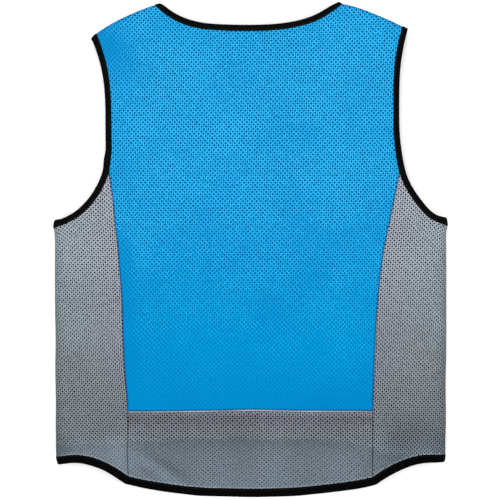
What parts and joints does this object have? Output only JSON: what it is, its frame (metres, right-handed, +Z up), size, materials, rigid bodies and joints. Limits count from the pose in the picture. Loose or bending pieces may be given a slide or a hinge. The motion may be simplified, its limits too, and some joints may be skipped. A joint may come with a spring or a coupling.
{
  "type": "cooling vest",
  "caption": "Sleeveless mesh cooling vest with a drop tail, bound edges and a front zip, lying flat with its back side up.",
  "frame": {"origin": "on the surface that the vest lies on, under the middle of its outline", "axes": "+Y to the neck, +X to the right seen from above, +Z up out of the back panel"},
  "size_m": [0.5154, 0.6504, 0.0256],
  "materials": {
    "blue_mesh": "knitted three-layer mesh, bright blue, small staggered holes",
    "grey_mesh": "thin perforated mesh, mid grey, small staggered holes",
    "black_binding": "folded knitted tape, black, matt",
    "black_zip": "moulded coil on woven tape, black, matt"
  },
  "bodies": {
    "root": {"back_panel": "blue_mesh", "tail_panel": "grey_mesh", "left_side_panel": "grey_mesh", "right_side_panel": "grey_mesh", "left_front_panel": "blue_mesh", "right_front_panel": "blue_mesh", "neck_binding": "black_binding", "left_armhole_binding": "black_binding", "right_armhole_binding": "black_binding", "hem_binding": "black_binding", "front_zip": "black_zip"}
  },
  "joints": []
}
